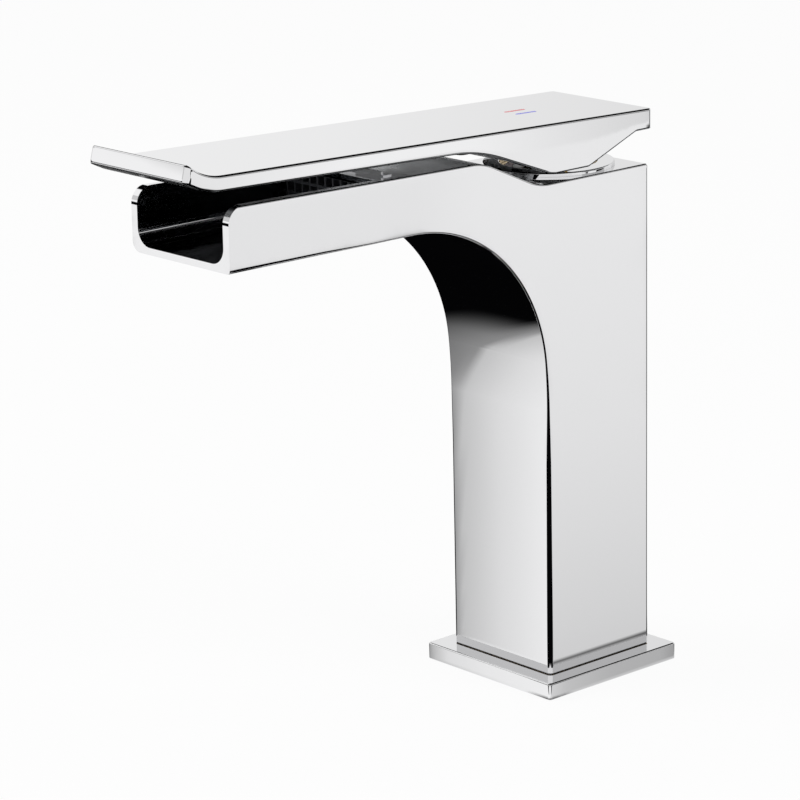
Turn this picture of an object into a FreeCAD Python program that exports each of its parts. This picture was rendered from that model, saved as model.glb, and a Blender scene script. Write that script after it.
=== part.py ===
import FreeCAD, Part

import math
import os

# Single-lever waterfall basin faucet: a square chromed casting whose spout is an open channel, a flat
# lever over it, and the ceramic cartridge, seals and fixings that it holds inside.
# Millimetres. The origin is the centre of the base plate's underside, where the faucet stands on the
# basin. +Z is up, the spout points to -Y and the width lies along X.

Vector = FreeCAD.Vector

# ---- base plate and its gasket -----------------------------------------------------------------
plate_side = 53.6
plate_height = 5.2
plate_edge_chamfer = 0.3
gasket_width = 3.0
gasket_height = 1.8
gasket_margin = 2.35          # from the plate's aperture to the gasket's groove
gasket_corner_radius = 2.0
spigot_side = 36.0            # foot of the column, through the plate's square aperture
spigot_clearance = 0.15
spigot_wall = 2.5             # metal round the hollow of the foot

# ---- column ------------------------------------------------------------------------------------
column_side = 42.0
column_top = 154.2
column_corner_radius = 1.2
stud_spacing = 26.0           # between the two M6 mounting studs
stud_hole_radius = 2.5
stud_lug_width = 11.0
stud_lug_depth = 6.0
stud_lug_height = 16.0

# ---- spout, knee and open channel --------------------------------------------------------------
spout_reach = 138.3           # from the column's axis to the mouth
spout_depth = 18.2            # from the rim to the underside, at the mouth
rim_rise = 11.5               # mouth's rim above the column's top
rim_fall = 1.6                # the rim drops this much from the mouth back to the ramp
ramp_angle = 24.42            # slope of the ramp from the column's top up to the rim, in degrees
ramp_radius = 20.0
ramp_gap = 0.07               # from the bonnet ring's edge to where the ramp begins to rise
mouth_corner_radius = 5.0
rim_edge_chamfer = 0.4
spout_wall = 2.5
spout_floor = 2.0
channel_corner_radius = 5.0
channel_length = 53.2         # open from the mouth back to the deck's front edge
deck_thickness = 1.2
under_radius = 51.2           # bend under the spout
under_foot_radius = 160.0     # wider arc in which the bend runs out down the column
under_foot_sweep = 5.5        # degrees of that arc
knee_setback = 10.0           # the waterway bends down this far behind the deck's front edge
knee_wall = 2.5
knee_back = 22.0              # back wall of the hollow knee, from the axis

# ---- flow straightener -------------------------------------------------------------------------
grille_columns = 11
grille_rows = 4
grille_bar = 0.7
grille_depth = 6.0
grille_frame = 0.6
grille_clearance = 0.1
clip_width = 33.8
clip_depth = 3.0
clip_thickness = 0.4
clip_setback = 5.3            # from the deck's front edge
clip_tab_height = 1.3
clip_tab_thickness = 0.8
clip_tab_length = 10.7
clip_tab_gap = 10.6           # between the two tabs

# ---- cartridge chamber in the column's head ----------------------------------------------------
cartridge_clearance = 0.35    # round the cartridge in its chamber
cartridge_drop = 1.7          # top of the cartridge's neck below the column's top
chamber_floor_thickness = 8.0
nut_thread_step = 1.25        # nut's thread outside the chamber's wall
window_width = 18.0
window_height = 8.0
inlet_spacing = 14.0
inlet_setback = 3.0           # the inlets lie in front of the axis
inlet_hole_radius = 4.46      # M10 x 1 for the supply hoses
inlet_port_radius = 3.4
locating_pin_radius = 1.5
locating_pin_length = 2.0
locating_pin_inset = 2.8      # from the cartridge's edge to the pin's axis
pin_hole_clearance = 0.1

# ---- ceramic cartridge, 35 mm ------------------------------------------------------------------
cartridge_radius = 17.4
housing_wall = 1.6
base_height = 6.0
base_foot_height = 3.0
base_lip_height = 2.0
base_lip_clearance = 0.05
port_seal_width = 1.5
disc_clearance = 0.2          # round the fixed disc in the housing
fixed_disc_height = 3.5
moving_disc_height = 3.0
moving_disc_radius = 11.0
disc_port_spacing = 11.0
disc_port_radius = 2.3
disc_outlet_setback = 6.5
disc_outlet_radius = 2.6
disc_seal_height = 0.8
disc_seal_width = 1.2
mixing_pocket_depth = 1.6
carrier_height = 6.0
carrier_peg_radius = 1.2
carrier_peg_height = 1.0
carrier_peg_spacing = 16.0
guide_gap = 0.5               # between the carrier and the rotor above it
guide_flange_radius = 13.9
guide_flange_height = 9.0
guide_neck_radius = 10.4
guide_running_clearance = 0.05
guide_end_clearance = 0.1
housing_roof = 2.0
housing_neck_wall = 2.5
housing_neck_height = 3.4
o_ring_section = 1.6          # square-section seal
o_ring_drop = 6.0             # below the housing's shoulder
guide_ring_section = 1.0
seal_clearance = 0.03
guide_ring_rise = 1.6         # above the housing's shoulder

# ---- spindle, its pin and the swing stop -------------------------------------------------------
lift_angle = 20.0
swing_angle = 45.0
pivot_drop = 0.6              # pivot below the rotor's shoulder
stem_side = 8.0
stem_below_pivot = 5.0
slot_clearance = 0.15
slot_end_clearance = 0.6
pivot_pin_radius = 2.0
pivot_pin_clearance = 0.03
arm_radius = 2.0
ball_radius = 2.8
ball_depth = 2.2              # ball's centre below the carrier's top
ball_clearance = 0.25
limit_ring_height = 1.2
limit_ring_wall = 2.6
limit_ear_angle = 10.0        # half the angle of the rotor's ear
limit_ear_reach = 1.5

# ---- retaining nut and trim --------------------------------------------------------------------
washer_thickness = 0.6
nut_clearance = 0.1
nut_recess = 0.6              # nut's top below the column's top
nut_slot_width = 4.0
nut_slot_depth = 1.6
nut_slot_count = 6
bonnet_lap = 0.6              # ring's edge outside the nut's thread
bonnet_height = 1.2
bonnet_bore_radius = 14.5
bonnet_skirt_height = 0.5
bonnet_edge_chamfer = 0.3
bonnet_seal_width = 1.0

# ---- lever -------------------------------------------------------------------------------------
lever_width = 42.0
lever_rear = 22.6             # rear face, from the axis
lever_rear_top = 16.2         # rear top edge above the column's top
lever_rise = 4.5              # the top climbs this much from the rear to the lip's foot
lip_foot = 145.0              # from the axis
lip_reach = 151.2
lip_rise = 4.4
lip_thickness = 5.0
lip_radius_top = 18.0
lip_radius_under = 22.0
lever_thickness = 4.4
belly_head = 47.7             # belly's slope, from the axis
belly_head_drop = 3.3
belly_foot = 18.6
belly_back = 3.7
belly_gap = 2.5               # belly above the column's top
belly_head_radius = 60.0
belly_foot_radius = 15.0
belly_back_radius = 3.0
rear_slab_front = 15.8
rear_slab_thickness = 6.1
lever_rear_radius = 3.0
lip_corner_radius = 1.6
lever_edge_chamfer = 0.4
lever_wall = 2.6
socket_boss_side = 15.0
socket_clearance = 0.05
stem_end_cover = 2.4          # lever metal over the stem's end
screw_rib_width = 10.0
pocket_front = 46.0
pocket_back = 13.5
mark_length = 8.2
mark_width = 0.7
mark_depth = 0.25
mark_spacing = 4.7
mark_setback = 11.2
grub_screw_radius = 2.0
grub_screw_length = 8.0
grub_hex_side = 2.0
grub_hex_depth = 2.5
plug_radius = 2.3
plug_length = 2.5
plug_chamfer = 0.3

# ---- heights and places that follow ------------------------------------------------------------
half_column = column_side / 2
rim_front_z = column_top + rim_rise
rim_back_z = rim_front_z - rim_fall
spout_bottom_z = rim_front_z - spout_depth
channel_floor_z = spout_bottom_z + spout_floor
channel_half_width = half_column - spout_wall
deck_front_y = -spout_reach + channel_length
chamber_radius = cartridge_radius + cartridge_clearance
nut_thread_radius = chamber_radius + nut_thread_step
bonnet_radius = nut_thread_radius + bonnet_lap
ramp_tilt = math.radians(ramp_angle)
ramp_foot = bonnet_radius + ramp_gap + ramp_radius * math.tan(ramp_tilt / 2)
ramp_head = ramp_foot + (rim_back_z - column_top) / math.tan(ramp_tilt)
cavity_half = spigot_side / 2 - spigot_wall

disc_stack = base_height + fixed_disc_height + moving_disc_height + carrier_height
rotor_stack = guide_gap + guide_flange_height + guide_end_clearance
chamber_floor_z = column_top - cartridge_drop - disc_stack - rotor_stack - housing_roof - housing_neck_height
column_cavity_top = chamber_floor_z - chamber_floor_thickness

base_top_z = chamber_floor_z + base_height
fixed_disc_top_z = base_top_z + fixed_disc_height
moving_disc_top_z = fixed_disc_top_z + moving_disc_height
carrier_top_z = moving_disc_top_z + carrier_height
guide_bottom_z = carrier_top_z + guide_gap
guide_shoulder_z = guide_bottom_z + guide_flange_height
housing_roof_z = guide_shoulder_z + guide_end_clearance
housing_shoulder_z = housing_roof_z + housing_roof
housing_top_z = housing_shoulder_z + housing_neck_height
guide_top_z = housing_top_z + limit_ring_height
pivot_z = guide_shoulder_z - pivot_drop
ball_z = carrier_top_z - ball_depth
housing_bore_radius = cartridge_radius - housing_wall
disc_radius = housing_bore_radius - disc_clearance
locating_pin_distance = cartridge_radius - locating_pin_inset
housing_neck_bore_radius = guide_neck_radius + guide_running_clearance
housing_neck_radius = housing_neck_bore_radius + housing_neck_wall
nut_bottom_z = housing_shoulder_z + washer_thickness
nut_top_z = column_top - nut_recess
nut_radius = nut_thread_radius - nut_clearance

lever_rear_z = column_top + lever_rear_top
lip_foot_z = lever_rear_z + lever_rise
top_slope = lever_rise / (lever_rear + lip_foot)
belly_z = column_top + belly_gap


def top_z(y):
    """Height of the lever's flat top at a distance along Y."""
    return lever_rear_z + (lever_rear - y) * top_slope


# ---- shared shapes -----------------------------------------------------------------------------
def in_yz(u, v):
    return Vector(0, u, v)


def in_xz(u, v):
    return Vector(u, 0, v)


def in_xy(u, v):
    return Vector(u, v, 0)


def rounded_path(points, place, closed=False):
    """Straight edges through the points (u, v, radius), joined by tangent arcs of those radii."""
    corners = [place(u, v) for u, v, radius in points]
    count = len(points)
    entries = list(corners)
    exits = list(corners)
    edges = []
    for i in range(count):
        radius = points[i][2]
        if radius <= 0:
            continue
        before = (corners[i - 1] - corners[i]).normalize()
        after = (corners[(i + 1) % count] - corners[i]).normalize()
        half_angle = before.getAngle(after) / 2
        setback = radius / math.tan(half_angle)
        entries[i] = corners[i] + before * setback
        exits[i] = corners[i] + after * setback
        bisector = (before + after).normalize()
        middle = corners[i] + bisector * (radius / math.sin(half_angle) - radius)
        edges.append(Part.Arc(entries[i], middle, exits[i]).toShape())
    for i in range(count if closed else count - 1):
        start = exits[i]
        end = entries[(i + 1) % count]
        if start.distanceToPoint(end) > 1e-6:
            edges.append(Part.makeLine(start, end))
    return edges


def face_of(edges):
    return Part.Face(Part.Wire(Part.__sortEdges__(edges)))


def across(face, half_width):
    """Solid of a side profile, drawn in the YZ plane, over the width from -half to +half."""
    moved = face.translated(Vector(-half_width, 0, 0))
    return moved.extrude(Vector(2 * half_width, 0, 0))


def box(x0, x1, y0, y1, z0, z1):
    return Part.makeBox(x1 - x0, y1 - y0, z1 - z0, Vector(x0, y0, z0))


def square_post(side, z0, z1, corner=0.0):
    """Upright square bar on the axis."""
    half = side / 2
    points = [(-half, -half, corner), (half, -half, corner), (half, half, corner), (-half, half, corner)]
    face = face_of(rounded_path(points, in_xy, closed=True))
    return face.translated(Vector(0, 0, z0)).extrude(Vector(0, 0, z1 - z0))


def cylinder(radius, z0, z1, x=0.0, y=0.0):
    return Part.makeCylinder(radius, z1 - z0, Vector(x, y, z0))


def ring(outer, inner, z0, z1, x=0.0, y=0.0):
    return cylinder(outer, z0, z1, x, y).cut(cylinder(inner, z0 - 1, z1 + 1, x, y))


def sector(radius, middle_angle, half_angle, z0, z1):
    """Upright wedge about the axis, by its middle angle and half its opening, in degrees."""
    start = math.radians(middle_angle - half_angle)
    middle = math.radians(middle_angle)
    end = math.radians(middle_angle + half_angle)
    centre = Vector(0, 0, z0)
    rim = [centre + Vector(math.cos(a), math.sin(a), 0) * radius for a in (start, middle, end)]
    arc = Part.Arc(*rim).toShape()
    sides = [Part.makeLine(centre, rim[0]), Part.makeLine(rim[2], centre)]
    return face_of([arc] + sides).extrude(Vector(0, 0, z1 - z0))


def edges_where(shape, test):
    """Edges whose middle point passes the test."""
    found = []
    for edge in shape.Edges:
        middle = edge.valueAt((edge.FirstParameter + edge.LastParameter) / 2)
        if test(middle, edge):
            found.append(edge)
    return found


# ---- body casting ------------------------------------------------------------------------------
def ramp_points(drop=0.0):
    """The deck's top line from the axis side to the mouth, lowered by drop."""
    return [
        (-ramp_foot, column_top - drop, ramp_radius),
        (-ramp_head, rim_back_z - drop, ramp_radius),
    ]


def under_points(shift=0.0):
    """Corners of the bend under the spout, from the spout to the column, moved inward by shift."""
    foot_sweep = math.radians(under_foot_sweep)
    sweep = math.pi / 2 - foot_sweep
    run = under_radius * math.tan(sweep / 2) + under_foot_radius * math.tan(foot_sweep / 2)
    head_y = -half_column - run * math.cos(sweep)
    foot_z = spout_bottom_z - run * math.sin(sweep)
    return [
        (head_y + shift, spout_bottom_z + shift, under_radius),
        (-half_column + shift, foot_z + shift, under_foot_radius),
    ]


def body_outline():
    return face_of(rounded_path(
        [
            (half_column, plate_height, 0),
            (half_column, column_top, 0),
            *ramp_points(),
            (-spout_reach, rim_front_z, mouth_corner_radius),
            (-spout_reach, spout_bottom_z, 0),
            *under_points(),
            (-half_column, plate_height, 0),
        ],
        in_yz,
        closed=True,
    ))


def on_side(point):
    return abs(abs(point.x) - half_column) < 1e-3


def is_lower_edge(point, edge):
    """Long edges under the spout and down the column's front, and up the column's rear."""
    if not on_side(point) or abs(point.z - plate_height) < 1e-3:
        return False
    rear = abs(point.y - half_column) < 1e-3
    below_rim = point.z < spout_bottom_z + 1e-3 and point.y > -spout_reach + 1e-3
    return rear or below_rim


def is_upper_edge(point, edge):
    """Edges round the column's top, down the ramp's sides and along the rims."""
    outer = max(abs(point.x), point.y) > half_column - column_corner_radius
    upright = abs(edge.tangentAt(edge.FirstParameter).z) > 0.999
    return outer and not upright and point.z > column_top - 1e-3


def open_channel():
    """Waterway's straight part: a U section with rounded floor corners, open at the top."""
    half = channel_half_width
    top = rim_front_z + 10
    section = face_of(rounded_path(
        [
            (-half, top, 0),
            (-half, channel_floor_z, channel_corner_radius),
            (half, channel_floor_z, channel_corner_radius),
            (half, top, 0),
        ],
        in_xz,
        closed=True,
    ))
    start = section.translated(Vector(0, -spout_reach - 1, 0))
    open_part = start.extrude(Vector(0, channel_length + 1, 0))
    covered = start.extrude(Vector(0, channel_length + 1 + knee_setback, 0))
    return open_part.fuse(covered.common(below_deck()))


def below_deck():
    """Everything under the deck's lower face, from the mouth to the chamber."""
    edges = rounded_path(
        [
            (0, 0, 0),
            (0, column_top - deck_thickness, 0),
            *ramp_points(deck_thickness),
            (-spout_reach - 5, rim_front_z - deck_thickness, 0),
            (-spout_reach - 5, 0, 0),
        ],
        in_yz,
        closed=True,
    )
    return across(face_of(edges), channel_half_width)


def hollow_knee():
    """Waterway's bend, between the under curve and the deck, down to the chamber's floor."""
    points = under_points(knee_wall)
    roof = rim_front_z + 5
    outline = [
        (-spout_reach, roof, 0),
        (-spout_reach, points[0][1], 0),
        *points,
        (points[1][0], 0, 0),
        (0, 0, 0),
        (0, roof, 0),
    ]
    knee = across(face_of(rounded_path(outline, in_yz, closed=True)), channel_half_width)
    limits = box(-half_column, half_column, deck_front_y + knee_setback - 1, -knee_back,
                 chamber_floor_z, roof)
    return knee.common(limits).common(below_deck())


def inlet_places():
    return [(side * inlet_spacing / 2, -inlet_setback) for side in (-1, 1)]


def make_body():
    body = across(body_outline(), half_column)
    body = body.makeFillet(column_corner_radius, edges_where(body, is_lower_edge))
    body = body.makeChamfer(rim_edge_chamfer, edges_where(body, is_upper_edge))

    foot = square_post(spigot_side, 0, plate_height + 1, column_corner_radius)
    cavity = square_post(2 * cavity_half, -1, column_cavity_top, column_corner_radius)
    body = body.fuse(foot).cut(cavity)
    for side in (-1, 1):
        near = stud_spacing / 2 - stud_lug_depth / 2 - 0.5
        far = cavity_half + 0.5
        y0, y1 = sorted((side * near, side * far))
        lug = box(-stud_lug_width / 2, stud_lug_width / 2, y0, y1, 0, stud_lug_height)
        hole = cylinder(stud_hole_radius, -1, stud_lug_height + 1, 0, side * stud_spacing / 2)
        body = body.fuse(lug).cut(hole)

    body = body.cut(open_channel())
    body = body.cut(hollow_knee())
    body = body.cut(cylinder(chamber_radius, chamber_floor_z, column_top + 1))
    body = body.cut(cylinder(nut_thread_radius, housing_shoulder_z - 1.0, column_top + 1))
    window = box(-window_width / 2, window_width / 2, -knee_back - 1, -chamber_radius + 3,
                 chamber_floor_z, chamber_floor_z + window_height)
    body = body.cut(window)
    for x, y in inlet_places():
        body = body.cut(cylinder(inlet_hole_radius, column_cavity_top - 1, chamber_floor_z + 1, x, y))
    for side in (-1, 1):
        hole = cylinder(locating_pin_radius + pin_hole_clearance,
                        chamber_floor_z - locating_pin_length - 0.5, chamber_floor_z + 1,
                        side * locating_pin_distance, 0)
        body = body.cut(hole)
    return body.removeSplitter()


# ---- base plate and gasket ---------------------------------------------------------------------
def gasket_band(z0, z1):
    inner = spigot_side + 2 * spigot_clearance + 2 * gasket_margin
    outer = inner + 2 * gasket_width
    band = square_post(outer, z0, z1, gasket_corner_radius)
    return band.cut(square_post(inner, z0 - 1, z1 + 1, gasket_corner_radius / 2))


def make_base_plate():
    plate = square_post(plate_side, 0, plate_height)
    edges = edges_where(plate, lambda point, edge: point.z > 1e-3)
    plate = plate.makeChamfer(plate_edge_chamfer, edges)
    plate = plate.cut(square_post(spigot_side + 2 * spigot_clearance, -1, plate_height + 1,
                                  column_corner_radius))
    return plate.cut(gasket_band(-1, gasket_height))


def make_base_gasket():
    return gasket_band(0, gasket_height)


# ---- flow straightener at the back of the open channel -----------------------------------------
def grille_section(inset):
    """The channel's section behind the deck's front edge, drawn in by inset."""
    half = channel_half_width - inset
    low = channel_floor_z + inset
    slope = rim_fall / (spout_reach - ramp_head)
    high = rim_front_z - slope * (channel_length + grille_depth) - deck_thickness - inset
    radius = channel_corner_radius - inset
    return [(-half, high, 0), (-half, low, radius), (half, low, radius), (half, high, 0)]


def make_flow_grille():
    outer = grille_section(grille_clearance)
    depth = Vector(0, grille_depth, 0)
    place = Vector(0, deck_front_y, 0)
    body = face_of(rounded_path(outer, in_xz, closed=True)).translated(place).extrude(depth)
    inner = grille_section(grille_clearance + grille_frame)
    left, high = inner[0][0], inner[0][1]
    right, low = inner[2][0], inner[2][1]
    cell_width = (right - left + grille_bar) / grille_columns - grille_bar
    cell_height = (high - low + grille_bar) / grille_rows - grille_bar
    bore = face_of(rounded_path(inner, in_xz, closed=True)).translated(place)
    bore = bore.translated(Vector(0, -1, 0)).extrude(depth + Vector(0, 2, 0))
    cells = []
    for column in range(grille_columns):
        x = left + column * (cell_width + grille_bar)
        for row in range(grille_rows):
            z = low + row * (cell_height + grille_bar)
            cells.append(box(x, x + cell_width, deck_front_y - 1, deck_front_y + grille_depth + 1,
                             z, z + cell_height))
    return body.cut(Part.makeCompound(cells).common(bore))


def deck_z(y):
    """Height of the deck's flat stretch at a distance along Y."""
    return rim_back_z + (-y - ramp_head) * rim_fall / (spout_reach - ramp_head)


def make_grille_clip():
    """Sprung steel strip along the deck, with two tabs bent up at its front."""
    front = deck_front_y + clip_setback
    strip = clip_profile(front, clip_depth, clip_thickness)
    clip = across(strip, clip_width / 2)
    tab = clip_profile(front, clip_tab_thickness, clip_tab_height)
    middle = (clip_tab_gap + clip_tab_length) / 2
    for side in (-1, 1):
        clip = clip.fuse(across(tab, clip_tab_length / 2).translated(Vector(side * middle, 0, 0)))
    return clip.removeSplitter()


def clip_profile(front, depth, height):
    """Side profile of a bar that lies on the sloping deck."""
    back = front + depth
    edges = rounded_path(
        [
            (front, deck_z(front), 0),
            (front, deck_z(front) + height, 0),
            (back, deck_z(back) + height, 0),
            (back, deck_z(back), 0),
        ],
        in_yz,
        closed=True,
    )
    return face_of(edges)


# ---- cartridge ---------------------------------------------------------------------------------
def port_seal(x, y):
    outer = inlet_port_radius + port_seal_width
    return ring(outer, inlet_port_radius, chamber_floor_z, chamber_floor_z + port_seal_width, x, y)


def lobe_seal(z0, z1):
    """Three rings round the two ports and the outlet, joined by thin webs."""
    ports = disc_ports()
    lobes = [cylinder(radius + disc_seal_width, z0, z1, x, y) for x, y, radius in ports]
    holes = [cylinder(radius, z0 - 1, z1 + 1, x, y) for x, y, radius in ports]
    reach = disc_port_spacing / 2
    half_web = disc_seal_width / 2
    cross_web = box(-reach, reach, -inlet_setback - half_web, -inlet_setback + half_web, z0, z1)
    long_web = box(-half_web, half_web, -inlet_setback, disc_outlet_setback, z0, z1)
    return lobes[0].multiFuse(lobes[1:] + [cross_web, long_web]).cut(Part.makeCompound(holes))


def disc_ports():
    ports = [(side * disc_port_spacing / 2, -inlet_setback, disc_port_radius) for side in (-1, 1)]
    return ports + [(0.0, disc_outlet_setback, disc_outlet_radius)]


def make_cartridge_base():
    """Plate on two port collars and a rear foot, so that mixed water leaves under it."""
    foot_top = chamber_floor_z + base_foot_height
    lip_z = base_top_z - base_lip_height
    base = cylinder(cartridge_radius, foot_top, lip_z)
    base = base.fuse(cylinder(housing_bore_radius - base_lip_clearance, lip_z, base_top_z))
    for x, y in inlet_places():
        collar = cylinder(inlet_port_radius + port_seal_width + 1.0, chamber_floor_z, foot_top, x, y)
        base = base.fuse(collar)
    for side in (-1, 1):
        pin = cylinder(locating_pin_radius, chamber_floor_z - locating_pin_length, foot_top,
                       side * locating_pin_distance, 0)
        base = base.fuse(pin)
    for x, y in inlet_places():
        seat = cylinder(inlet_port_radius + port_seal_width, chamber_floor_z - 1,
                        chamber_floor_z + port_seal_width, x, y)
        base = base.cut(seat)
        base = base.cut(cylinder(inlet_port_radius, chamber_floor_z, lip_z, x, y))
    for x, y, radius in disc_ports():
        start = foot_top - 1 if y > 0 else lip_z - 1
        base = base.cut(cylinder(radius, start, base_top_z + 1, x, y))
    return base.cut(lobe_seal(base_top_z - disc_seal_height, base_top_z + 1))


def make_disc_seal():
    return lobe_seal(base_top_z - disc_seal_height, base_top_z)


def make_fixed_disc():
    disc = cylinder(disc_radius, base_top_z, fixed_disc_top_z)
    for x, y, radius in disc_ports():
        disc = disc.cut(cylinder(radius, base_top_z - 1, fixed_disc_top_z + 1, x, y))
    return disc


def carrier_pegs(z0, z1, clearance=0.0):
    radius = carrier_peg_radius + clearance
    pegs = [cylinder(radius, z0, z1, side * carrier_peg_spacing / 2, 0) for side in (-1, 1)]
    return Part.makeCompound(pegs)


def make_moving_disc():
    disc = cylinder(moving_disc_radius, fixed_disc_top_z, moving_disc_top_z)
    reach = disc_outlet_setback + disc_outlet_radius
    pocket = box(-disc_port_spacing / 2, disc_port_spacing / 2, 0.2, reach,
                 fixed_disc_top_z - 1, fixed_disc_top_z + mixing_pocket_depth)
    rounded = pocket.common(cylinder(moving_disc_radius - 1.5, fixed_disc_top_z - 1, moving_disc_top_z))
    disc = disc.cut(rounded)
    return disc.cut(carrier_pegs(moving_disc_top_z - carrier_peg_height - 0.1, moving_disc_top_z + 1, 0.1))


def make_disc_carrier():
    carrier = cylinder(moving_disc_radius, moving_disc_top_z, carrier_top_z)
    for peg in carrier_pegs(moving_disc_top_z - carrier_peg_height, moving_disc_top_z).Solids:
        carrier = carrier.fuse(peg)
    socket_radius = ball_radius + ball_clearance
    socket_bottom = ball_z - ball_radius - ball_clearance
    carrier = carrier.cut(cylinder(socket_radius, socket_bottom, carrier_top_z + 1))
    return carrier.removeSplitter()


def make_cartridge_housing():
    skirt_z = base_top_z - base_lip_height
    flange_bore = guide_flange_radius + 0.1
    housing = cylinder(cartridge_radius, skirt_z, housing_shoulder_z)
    housing = housing.fuse(cylinder(housing_neck_radius, skirt_z, housing_top_z))
    housing = housing.cut(cylinder(housing_bore_radius, skirt_z - 1, guide_bottom_z - 0.1))
    housing = housing.cut(cylinder(flange_bore, skirt_z, housing_roof_z))
    housing = housing.cut(cylinder(housing_neck_bore_radius, skirt_z, housing_top_z + 1))
    return housing.cut(seal_groove(chamber_radius, o_ring_section, housing_shoulder_z - o_ring_drop))


def seal_groove(bore_radius, section, z):
    """Groove for a square-section seal that works against a bore of that radius."""
    half = section / 2 + seal_clearance
    return ring(bore_radius + 1, bore_radius - section - 2 * seal_clearance, z - half, z + half)


def square_seal(bore_radius, section, z):
    outer = bore_radius - seal_clearance
    return ring(outer, outer - section, z - section / 2, z + section / 2)


def make_housing_o_ring():
    return square_seal(chamber_radius, o_ring_section, housing_shoulder_z - o_ring_drop)


# ---- rotor, spindle and pin --------------------------------------------------------------------
def slot_half_length():
    """Room that the stem needs in the rotor when the lever is up."""
    tilt = math.radians(lift_angle)
    above = (guide_top_z - pivot_z) * math.tan(tilt)
    below = (pivot_z - guide_bottom_z) * math.tan(tilt)
    return max(above, below) + stem_side / 2 / math.cos(tilt) + slot_end_clearance


def make_spindle_guide():
    guide = cylinder(guide_flange_radius, guide_bottom_z, guide_shoulder_z)
    guide = guide.fuse(cylinder(guide_neck_radius, guide_bottom_z, guide_top_z))
    ear_radius = guide_neck_radius + limit_ear_reach
    ear = sector(ear_radius, 90, limit_ear_angle, housing_top_z + 0.05, guide_top_z)
    guide = guide.fuse(ear)
    half_x = stem_side / 2 + slot_clearance
    half_y = slot_half_length()
    guide = guide.cut(box(-half_x, half_x, -half_y, half_y, guide_bottom_z - 1, guide_top_z + 1))
    pin_hole = Part.makeCylinder(pivot_pin_radius, 2 * guide_flange_radius + 2,
                                 Vector(-guide_flange_radius - 1, 0, pivot_z), Vector(1, 0, 0))
    guide = guide.cut(pin_hole)
    groove_z = housing_shoulder_z + guide_ring_rise
    return guide.cut(seal_groove(housing_neck_bore_radius, guide_ring_section, groove_z))


def make_guide_o_ring():
    return square_seal(housing_neck_bore_radius, guide_ring_section, housing_shoulder_z + guide_ring_rise)


def make_spindle_pin():
    reach = guide_neck_radius - 0.6
    return Part.makeCylinder(pivot_pin_radius, 2 * reach, Vector(-reach, 0, pivot_z), Vector(1, 0, 0))


def stem_top_z():
    return top_z(0) - stem_end_cover


def make_spindle():
    half = stem_side / 2
    stem = box(-half, half, -half, half, pivot_z - stem_below_pivot, stem_top_z())
    top_edges = edges_where(stem, lambda point, edge: point.z > stem_top_z() - 1e-3)
    stem = stem.makeChamfer(0.6, top_edges)
    arm = cylinder(arm_radius, ball_z, pivot_z)
    ball = Part.makeSphere(ball_radius, Vector(0, 0, ball_z))
    spindle = stem.fuse(arm).fuse(ball)
    pin_hole = Part.makeCylinder(pivot_pin_radius + pivot_pin_clearance, 2 * stem_side,
                                 Vector(-stem_side, 0, pivot_z), Vector(1, 0, 0))
    return spindle.cut(pin_hole)


def make_limit_ring():
    """Swing stop: the rotor's ear runs in its open sector."""
    outer = guide_neck_radius + limit_ring_wall
    inner = guide_neck_radius + 0.2
    stop = ring(outer, inner, housing_top_z, housing_top_z + limit_ring_height)
    room = sector(guide_neck_radius + limit_ear_reach + 0.2, 90,
                  swing_angle + limit_ear_angle + 1, housing_top_z - 1, guide_top_z + 1)
    return stop.cut(room)


# ---- nut and trim ------------------------------------------------------------------------------
def make_nut_washer():
    return ring(cartridge_radius, housing_neck_radius + 0.2, housing_shoulder_z, nut_bottom_z)


def make_retaining_nut():
    nut = ring(nut_radius, housing_neck_radius + 0.3, nut_bottom_z, nut_top_z)
    for index in range(nut_slot_count):
        slot = box(housing_neck_radius + 1.6, nut_radius + 1, -nut_slot_width / 2, nut_slot_width / 2,
                   nut_top_z - nut_slot_depth, nut_top_z + 1)
        slot.rotate(Vector(0, 0, 0), Vector(0, 0, 1), index * 360 / nut_slot_count)
        nut = nut.cut(slot)
    return nut


def make_bonnet_ring():
    top = ring(bonnet_radius, bonnet_bore_radius, column_top, column_top + bonnet_height)
    rim = edges_where(top, lambda point, edge: point.z > column_top + bonnet_height - 1e-3)
    top = top.makeChamfer(bonnet_edge_chamfer, rim)
    skirt_outer = nut_thread_radius - bonnet_seal_width
    skirt = ring(skirt_outer, bonnet_bore_radius, column_top - bonnet_skirt_height, column_top)
    return top.fuse(skirt).removeSplitter()


def make_bonnet_seal():
    outer = nut_thread_radius
    return ring(outer, outer - bonnet_seal_width, column_top - bonnet_skirt_height, column_top)


# ---- lever -------------------------------------------------------------------------------------
def lever_outline():
    lip_top_z = lip_foot_z + lip_rise
    slab_z = lever_rear_z - rear_slab_thickness
    lip_under_z = lip_foot_z - lever_thickness
    points = [
        (lever_rear, lever_rear_z, 0),
        (-lip_foot, lip_foot_z, lip_radius_top),
        (-lip_reach, lip_top_z, 0),
        (-lip_reach - 1.3, lip_top_z - lip_thickness, 0),
        (-lip_foot + 0.5, lip_under_z, lip_radius_under),
        (-belly_head, lip_under_z - belly_head_drop + 0.4, belly_head_radius),
        (-belly_foot, belly_z, belly_foot_radius),
        (-belly_back, belly_z, 0),
        (rear_slab_front, slab_z, belly_back_radius),
        (lever_rear, slab_z, 0),
    ]
    return face_of(rounded_path(points, in_yz, closed=True))


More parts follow.
